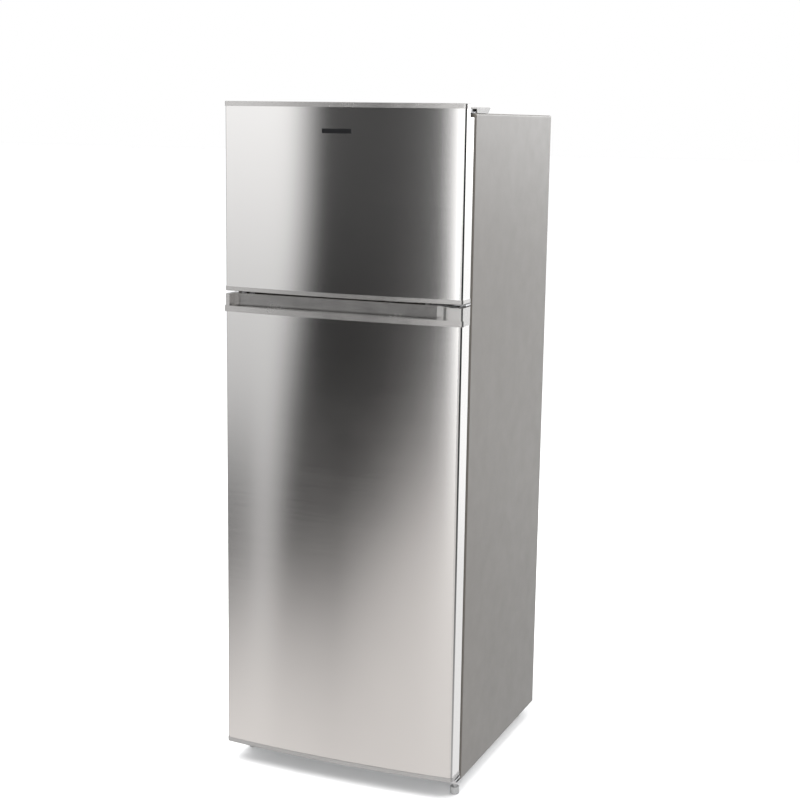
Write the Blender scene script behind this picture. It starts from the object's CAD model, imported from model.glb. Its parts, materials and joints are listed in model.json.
"""Looks of the two-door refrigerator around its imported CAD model. Metres, in the CAD's frame."""

import json
from math import cos, radians, sin

import bpy
from mathutils import Matrix, Vector

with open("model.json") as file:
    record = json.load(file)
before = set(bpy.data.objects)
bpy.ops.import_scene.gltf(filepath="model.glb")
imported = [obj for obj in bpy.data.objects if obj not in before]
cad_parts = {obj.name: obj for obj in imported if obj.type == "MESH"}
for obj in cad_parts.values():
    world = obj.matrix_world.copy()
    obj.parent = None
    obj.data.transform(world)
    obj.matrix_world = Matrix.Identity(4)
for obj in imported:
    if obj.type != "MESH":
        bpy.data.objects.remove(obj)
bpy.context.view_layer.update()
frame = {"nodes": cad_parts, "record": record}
nodes = frame["nodes"]


# ---------------------------------------------------------------- node helpers

class Graph:
    """Short-hand for building one node tree."""

    def __init__(self, tree):
        self.tree = tree
        tree.nodes.clear()

    def add(self, kind, out=0, settings=None, **inputs):
        """New node with its sockets set or linked by name, or by number as i0; gives one output."""
        made = self.tree.nodes.new("ShaderNode" + kind)
        for key, value in (settings or {}).items():
            setattr(made, key, value)
        for key, value in inputs.items():
            numbered = key[0] == "i" and key[1:].isdigit()
            which = int(key[1:]) if numbered else key.replace("_", " ")
            self.put(value, made.inputs[which])
        return made.outputs[out]

    def put(self, value, socket):
        """Link a socket, or set its value."""
        if isinstance(value, bpy.types.NodeSocket):
            self.tree.links.new(value, socket)
        else:
            socket.default_value = value

    def math(self, operation, a, b=0.0):
        return self.add("Math", settings={"operation": operation}, i0=a, i1=b)

    def place(self, stretch=(1, 1, 1)):
        """Object coordinates, stretched per axis."""
        spot = self.add("TexCoord", out="Object")
        return self.add("VectorMath", settings={"operation": "MULTIPLY"}, i0=spot, i1=stretch)

    def noise(self, scale, detail=3.0, rough=0.5, stretch=(1, 1, 1)):
        return self.add("TexNoise", Vector=self.place(stretch), Scale=scale, Detail=detail, Roughness=rough)

    def span(self, value, low, high, start=0.0, end=1.0):
        """Map a value from one range to another, clamped."""
        return self.add("MapRange", i0=value, i1=start, i2=end, i3=low, i4=high)

    def blend(self, factor, a, b):
        """Colour mix."""
        made = self.tree.nodes.new("ShaderNodeMix")
        made.data_type = "RGBA"
        self.put(factor, made.inputs[0])
        for value, socket in ((a, made.inputs[6]), (b, made.inputs[7])):
            self.put((*value, 1.0) if isinstance(value, tuple) and len(value) == 3 else value, socket)
        return made.outputs[2]

    def bump(self, height, distance):
        return self.add("Bump", Height=height, Distance=distance, Strength=1.0)

    def end(self, kind, shader):
        """Output node of a material's or a world's tree, fed by the shader."""
        made = self.tree.nodes.new("ShaderNodeOutput" + kind)
        self.put(shader, made.inputs["Surface"])


def start(name):
    """New material and the graph that builds it."""
    material = bpy.data.materials.new(name)
    material.use_nodes = True
    return material, Graph(material.node_tree)


def surface(name, colour, roughness, metallic=0.0, grain=900.0, grain_depth=2e-5, mottle=0.04, worn=0.05,
            fixed=None):
    """General finish: slow colour mottling, uneven roughness, and a fine moulded or rolled grain."""
    material, graph = start(name)
    slow = graph.noise(6.0, 4.0)
    fine = graph.noise(grain, 2.0, 0.6)
    dark = tuple(c * (1 - mottle) for c in colour)
    light = tuple(min(1.0, c * (1 + mottle)) for c in colour)
    shade = graph.blend(graph.span(slow, 0.0, 1.0, 0.3, 0.7), dark, light)
    uneven = graph.span(graph.noise(22.0, 5.0, 0.65), roughness - worn, roughness + worn, 0.3, 0.7)
    relief = graph.bump(fine, grain_depth)
    shader = graph.add("BsdfPrincipled", Base_Color=shade, Roughness=uneven, Metallic=metallic, Normal=relief,
                       **(fixed or {}))
    graph.end("Material", shader)
    return material


def brushed_steel(name, colour, roughness, anisotropy):
    """Steel brushed level: long hair lines in height, roughness and tint; highlights drawn up and down."""
    material, graph = start(name)
    lines = graph.noise(1.0, 5.0, 0.7, (5.0, 5.0, 1500.0))
    strands = graph.noise(1.0, 3.0, 0.6, (28.0, 28.0, 5200.0))
    clouds = graph.noise(2.2, 3.0, 0.5, (1.0, 1.0, 0.6))
    hair = graph.math("ADD", graph.math("MULTIPLY", lines, 0.6), graph.math("MULTIPLY", strands, 0.4))
    shade = graph.blend(graph.span(hair, 0.0, 1.0, 0.35, 0.65), tuple(c * 0.975 for c in colour), colour)
    uneven = graph.math("ADD", graph.span(hair, roughness - 0.02, roughness + 0.02, 0.3, 0.7),
                        graph.span(clouds, -0.02, 0.02, 0.3, 0.7))
    upright = graph.add("CombineXYZ", Z=1.0)
    relief = graph.bump(hair, 2e-6)
    shader = graph.add("BsdfPrincipled", Base_Color=shade, Roughness=uneven, Metallic=1.0,
                       Anisotropic=anisotropy, Tangent=upright, Normal=relief)
    graph.end("Material", shader)
    return material


def plated(name, colour, roughness, spangle):
    """Zinc coat: crystal spangle in tint and roughness over a faint rolled grain."""
    material, graph = start(name)
    cells = graph.add("TexVoronoi", out="Color", Vector=graph.place(), Scale=spangle)
    cell = graph.add("SeparateColor", Color=cells)
    haze = graph.noise(40.0, 4.0)
    shade = graph.blend(cell, tuple(c * 0.86 for c in colour), colour)
    uneven = graph.math("ADD", graph.span(cell, roughness - 0.06, roughness + 0.06),
                        graph.span(haze, -0.05, 0.08, 0.3, 0.7))
    relief = graph.bump(graph.noise(1400.0, 2.0), 8e-6)
    shader = graph.add("BsdfPrincipled", Base_Color=shade, Roughness=uneven, Metallic=1.0, Normal=relief)
    graph.end("Material", shader)
    return material


def clear(name, colour, edge_colour, roughness, ior):
    """Clear glass or plastic whose cut edges look deeper in colour than its faces."""
    material, graph = start(name)
    normal = graph.add("NewGeometry", out="True Normal")
    up = graph.math("ABSOLUTE", graph.add("SeparateXYZ", out="Z", Vector=normal))
    shade = graph.blend(graph.span(up, 0.0, 1.0, 0.2, 0.8), edge_colour, colour)
    smears = graph.span(graph.noise(30.0, 4.0, 0.6), roughness, roughness + 0.06, 0.35, 0.75)
    relief = graph.bump(graph.noise(60.0, 2.0), 3e-5)
    shader = graph.add("BsdfPrincipled", Base_Color=shade, Roughness=smears, IOR=ior,
                       Transmission_Weight=0.92, Normal=relief)
    graph.end("Material", shader)
    return material


coat = {"Coat_Weight": 0.35, "Coat_Roughness": 0.12}
looks = {
    "stainless_face": brushed_steel("stainless_face", (0.640, 0.626, 0.614), 0.133, 0.88),
    "cabinet_paint": surface("cabinet_paint", (0.0885, 0.0795, 0.0690), 0.31, 0.0, 700.0, 8e-6, 0.02, 0.03),
    "galvanised_sheet": plated("galvanised_sheet", (0.62, 0.63, 0.64), 0.42, 70.0),
    "zinc_plate": plated("zinc_plate", (0.66, 0.66, 0.67), 0.38, 220.0),
    "cap_plastic": surface("cap_plastic", (0.42, 0.41, 0.40), 0.25, 0.92, 1600.0, 6e-6, 0.02, 0.03),
    "hinge_cover_plastic": surface("hinge_cover_plastic", (0.30, 0.295, 0.29), 0.45, 0.0,
                                   1400.0, 2e-5, 0.03, 0.05),
    "cap_dark": surface("cap_dark", (0.30, 0.295, 0.29), 0.36, 0.60, 1600.0, 1e-5, 0.03, 0.04),
    "liner_white": surface("liner_white", (0.76, 0.77, 0.775), 0.24, 0.0, 260.0, 2.5e-5, 0.012, 0.04),
    "insulation": surface("insulation", (0.80, 0.72, 0.50), 0.85, 0.0, 420.0, 3e-4, 0.08, 0.05),
    "gasket_rubber": surface("gasket_rubber", (0.55, 0.55, 0.55), 0.58, 0.0, 1300.0, 3e-5, 0.06, 0.08),
    "clear_plastic": clear("clear_plastic", (0.93, 0.955, 0.965), (0.80, 0.88, 0.91), 0.06, 1.55),
    "shelf_glass": clear("shelf_glass", (0.95, 0.985, 0.97), (0.45, 0.72, 0.62), 0.01, 1.52),
    "trim_white": surface("trim_white", (0.74, 0.75, 0.76), 0.34, 0.0, 1500.0, 1.5e-5, 0.015, 0.05),
    "black_enamel": surface("black_enamel", (0.018, 0.018, 0.020), 0.28, 0.0, 320.0, 6e-5, 0.15, 0.08, coat),
    "rubber_black": surface("rubber_black", (0.025, 0.025, 0.026), 0.62, 0.0, 900.0, 6e-5, 0.2, 0.1),
    "dark_plastic": surface("dark_plastic", (0.035, 0.035, 0.038), 0.45, 0.0, 1300.0, 4e-5, 0.12, 0.08),
    "copper": surface("copper", (0.76, 0.40, 0.25), 0.27, 1.0, 500.0, 1e-5, 0.18, 0.12),
    "aluminium_plate": surface("aluminium_plate", (0.78, 0.78, 0.79), 0.34, 1.0, 800.0, 2e-5, 0.05, 0.07),
    "wire_white": surface("wire_white", (0.74, 0.75, 0.76), 0.38, 0.0, 700.0, 5e-5, 0.02, 0.06),
    "foot_plastic": surface("foot_plastic", (0.30, 0.30, 0.30), 0.45, 0.0, 1200.0, 3e-5, 0.05, 0.07),
    "bush_plastic": surface("bush_plastic", (0.34, 0.34, 0.34), 0.50, 0.0, 1200.0, 3e-5, 0.05, 0.07),
    "bulb_glass": clear("bulb_glass", (0.98, 0.97, 0.93), (0.95, 0.93, 0.88), 0.02, 1.5),
    "badge_metal": surface("badge_metal", (0.03, 0.03, 0.032), 0.34, 1.0, 900.0, 1e-5, 0.08, 0.06),
}
for part in frame["record"]["subparts"]:
    shown = nodes[part["node"]]
    shown.data.materials.clear()
    shown.data.materials.append(looks[part["material_slot"]])

# ---------------------------------------------------------------- studio

floor_mesh = bpy.data.meshes.new("floor")
floor_half = 60.0
floor_mesh.from_pydata([(-floor_half, -floor_half, 0), (floor_half, -floor_half, 0),
                        (floor_half, floor_half, 0), (-floor_half, floor_half, 0)], [], [(0, 1, 2, 3)])
floor = bpy.data.objects.new("floor", floor_mesh)
bpy.context.scene.collection.objects.link(floor)
floor_mesh.materials.append(surface("studio_floor", (0.93, 0.93, 0.93), 0.75, 0.0, 300.0, 1e-5, 0.004, 0.05))
floor.visible_glossy = False

world = bpy.data.worlds.new("studio")
bpy.context.scene.world = world
world.use_nodes = True
sky = Graph(world.node_tree)
direction = sky.add("TexCoord", out="Generated")
axes = sky.tree.nodes.new("ShaderNodeSeparateXYZ")
sky.put(direction, axes.inputs[0])
x_part, y_part, z_part = (axes.outputs[k] for k in ("X", "Y", "Z"))

# Degrees: turn is 0 straight out from the doors and grows to the left, pitch is 0 at the level
degrees_per_radian = 57.2958
turn = sky.math("MULTIPLY", sky.math("ARCTAN2", sky.math("MULTIPLY", x_part, -1.0),
                                     sky.math("MULTIPLY", y_part, -1.0)), degrees_per_radian)
pitch = sky.math("MULTIPLY", sky.math("ARCSINE", z_part), degrees_per_radian)


def step(value, start, end):
    """0 below start, 1 above end, smooth between."""
    made = sky.tree.nodes.new("ShaderNodeMapRange")
    made.interpolation_type = "SMOOTHSTEP"
    for socket, number in zip(made.inputs[:5], (value, start, end, 0.0, 1.0)):
        sky.put(number, socket)
    return made.outputs[0]


def both(a, b):
    """Product of two shares."""
    return sky.math("MULTIPLY", a, b)


def rest_of(a):
    """One minus a share."""
    return sky.math("SUBTRACT", 1.0, a)


def lay(under, over, share):
    """One brightness laid over another."""
    return sky.math("ADD", both(under, rest_of(share)), both(over, share))


# Brightness of each stretch of the studio's walls, most of them by height
back_wall = 0.7
far_left = 0.35
left_wall = sky.span(pitch, 0.90, 1.60, -7.0, 2.0)
gap = sky.span(pitch, 0.022, 0.10, -9.0, 0.0)
ramp = sky.span(turn, 0.25, 0.0, 10.5, 20.0)
ramp_gain = 2.2
gap = sky.math("ADD", gap, both(ramp, sky.math("MULTIPLY", ramp, ramp_gain)))
strip_light = sky.span(pitch, 2.0, 3.4, -14.0, -2.0)
grey_corner = sky.span(pitch, 0.60, 2.2, -9.0, 0.0)
dark_corner = sky.span(pitch, 0.72, 0.03, -23.5, -15.5)
wall_behind = both(sky.span(pitch, 1.45, 4.2, -4.0, 4.0), sky.span(pitch, 0.78, 1.0, -16.5, -13.5))

# Where each stretch starts, as the two turns that its soft edge lies between. From behind, round by the
# left: back wall, far left, left wall (its edge leans with height), gap with a ramp beside the strip light,
# strip light, grey corner, dark corner at the right, wall behind the right side, back wall again.
back_wall_left_edge = (135.0, 160.0)
far_left_edge = (88.0, 96.0)
left_wall_edge = (26.2, 32.6)
strip_light_edge = (10.0, 11.2)
grey_corner_edge = (6.5, 8.0)
dark_corner_edge = (-62.0, -50.0)
wall_behind_edge = (-146.0, -138.0)
back_wall_right_edge = (-178.0, -167.0)

leaning = sky.math("ADD", turn, sky.span(pitch, -5.2, 0.0, -16.0, -4.0))
walls = lay(gap, left_wall, step(leaning, *left_wall_edge))
walls = lay(walls, far_left, step(turn, *far_left_edge))
walls = lay(walls, back_wall, step(turn, *back_wall_left_edge))
walls = lay(walls, strip_light, rest_of(step(turn, *strip_light_edge)))
walls = lay(walls, grey_corner, rest_of(step(turn, *grey_corner_edge)))
walls = lay(walls, dark_corner, rest_of(step(turn, *dark_corner_edge)))
walls = lay(walls, wall_behind, rest_of(step(turn, *wall_behind_edge)))
walls = lay(walls, back_wall, rest_of(step(turn, *back_wall_right_edge)))

# In front of the doors: a dark skirting at the foot of the left wall, and a pale floor below them all,
# whose far edge comes nearer at the left
in_front = both(step(turn, *dark_corner_edge), rest_of(step(turn, 70.0, 110.0)))
skirting_brightness = 0.04
skirting_height = both(step(pitch, -26.0, -21.0), rest_of(step(pitch, -14.5, -10.0)))
skirting = both(step(turn, 32.5, 39.5), skirting_height)
walls = lay(walls, skirting_brightness, both(skirting, in_front))
far_edge = sky.span(turn, -13.8, -19.2, 12.0, 25.0)
below = sky.math("SUBTRACT", pitch, far_edge)
near_floor = both(rest_of(step(below, -3.0, 4.0)), in_front)
pale_floor = sky.span(turn, 1.0, 1.15, 10.0, 34.0)
studio = lay(walls, pale_floor, near_floor)
ceiling_brightness = 1.15
ceiling = step(pitch, 22.0, 50.0)
studio = lay(studio, ceiling_brightness, ceiling)

# The camera sees plain white, and everything else is lit by the studio: cool walls, a warm floor
unseen = sky.add("LightPath", out="Is Camera Ray")
cool_wall, warm_floor = (0.985, 0.992, 1.0), (1.0, 0.965, 0.945)
glow = sky.add("Background", Color=sky.blend(near_floor, cool_wall, warm_floor), Strength=studio)
plain = sky.add("Background", Color=(1.0, 1.0, 1.0, 1.0), Strength=1.0)
sky.end("World", sky.add("MixShader", i0=unseen, i1=glow, i2=plain))


def softbox(name, spot, target, size, power):
    """Large soft area light aimed at a point."""
    data = bpy.data.lights.new(name, "AREA")
    data.shape = "RECTANGLE"
    data.size, data.size_y = size
    data.energy = power
    made = bpy.data.objects.new(name, data)
    made.location = spot
    made.rotation_euler = (Vector(target) - Vector(spot)).to_track_quat("-Z", "Y").to_euler()
    made.visible_glossy = False
    bpy.context.scene.collection.objects.link(made)


softbox("overhead", (-0.6, -1.2, 3.4), (0, 0, 0.5), (3.0, 3.0), 150.0)
softbox("side_fill", (1.9, 0.5, 2.3), (0.26, 0, 1.3), (1.6, 1.6), 22.0)
softbox("corner_fill", (2.1, -3.3, 1.3), (0.26, -0.2, 0.8), (1.0, 1.6), 25.0)

scene = bpy.context.scene
scene.view_settings.view_transform = "Standard"

# Camera: right of the doors, a little above their middle, looking slightly down
camera_data = bpy.data.cameras.new("camera")
camera_data.lens = 68.48
camera_data.sensor_width = 36.0
camera_spot = (1.2950, -3.0474, 1.3933)
camera = bpy.data.objects.new("camera", camera_data)
yaw, tilt, roll = radians(22.633), radians(10.359), radians(0.879)
forward = Vector((-sin(yaw) * cos(tilt), cos(yaw) * cos(tilt), -sin(tilt)))
flat_right = Vector((cos(yaw), sin(yaw), 0.0))
flat_up = flat_right.cross(forward)
view_right = flat_right * cos(roll) + flat_up * sin(roll)
view_up = flat_up * cos(roll) - flat_right * sin(roll)
turned = Matrix((view_right, view_up, -forward)).transposed().to_4x4()
camera.matrix_world = Matrix.Translation(camera_spot) @ turned
scene.collection.objects.link(camera)
scene.camera = camera
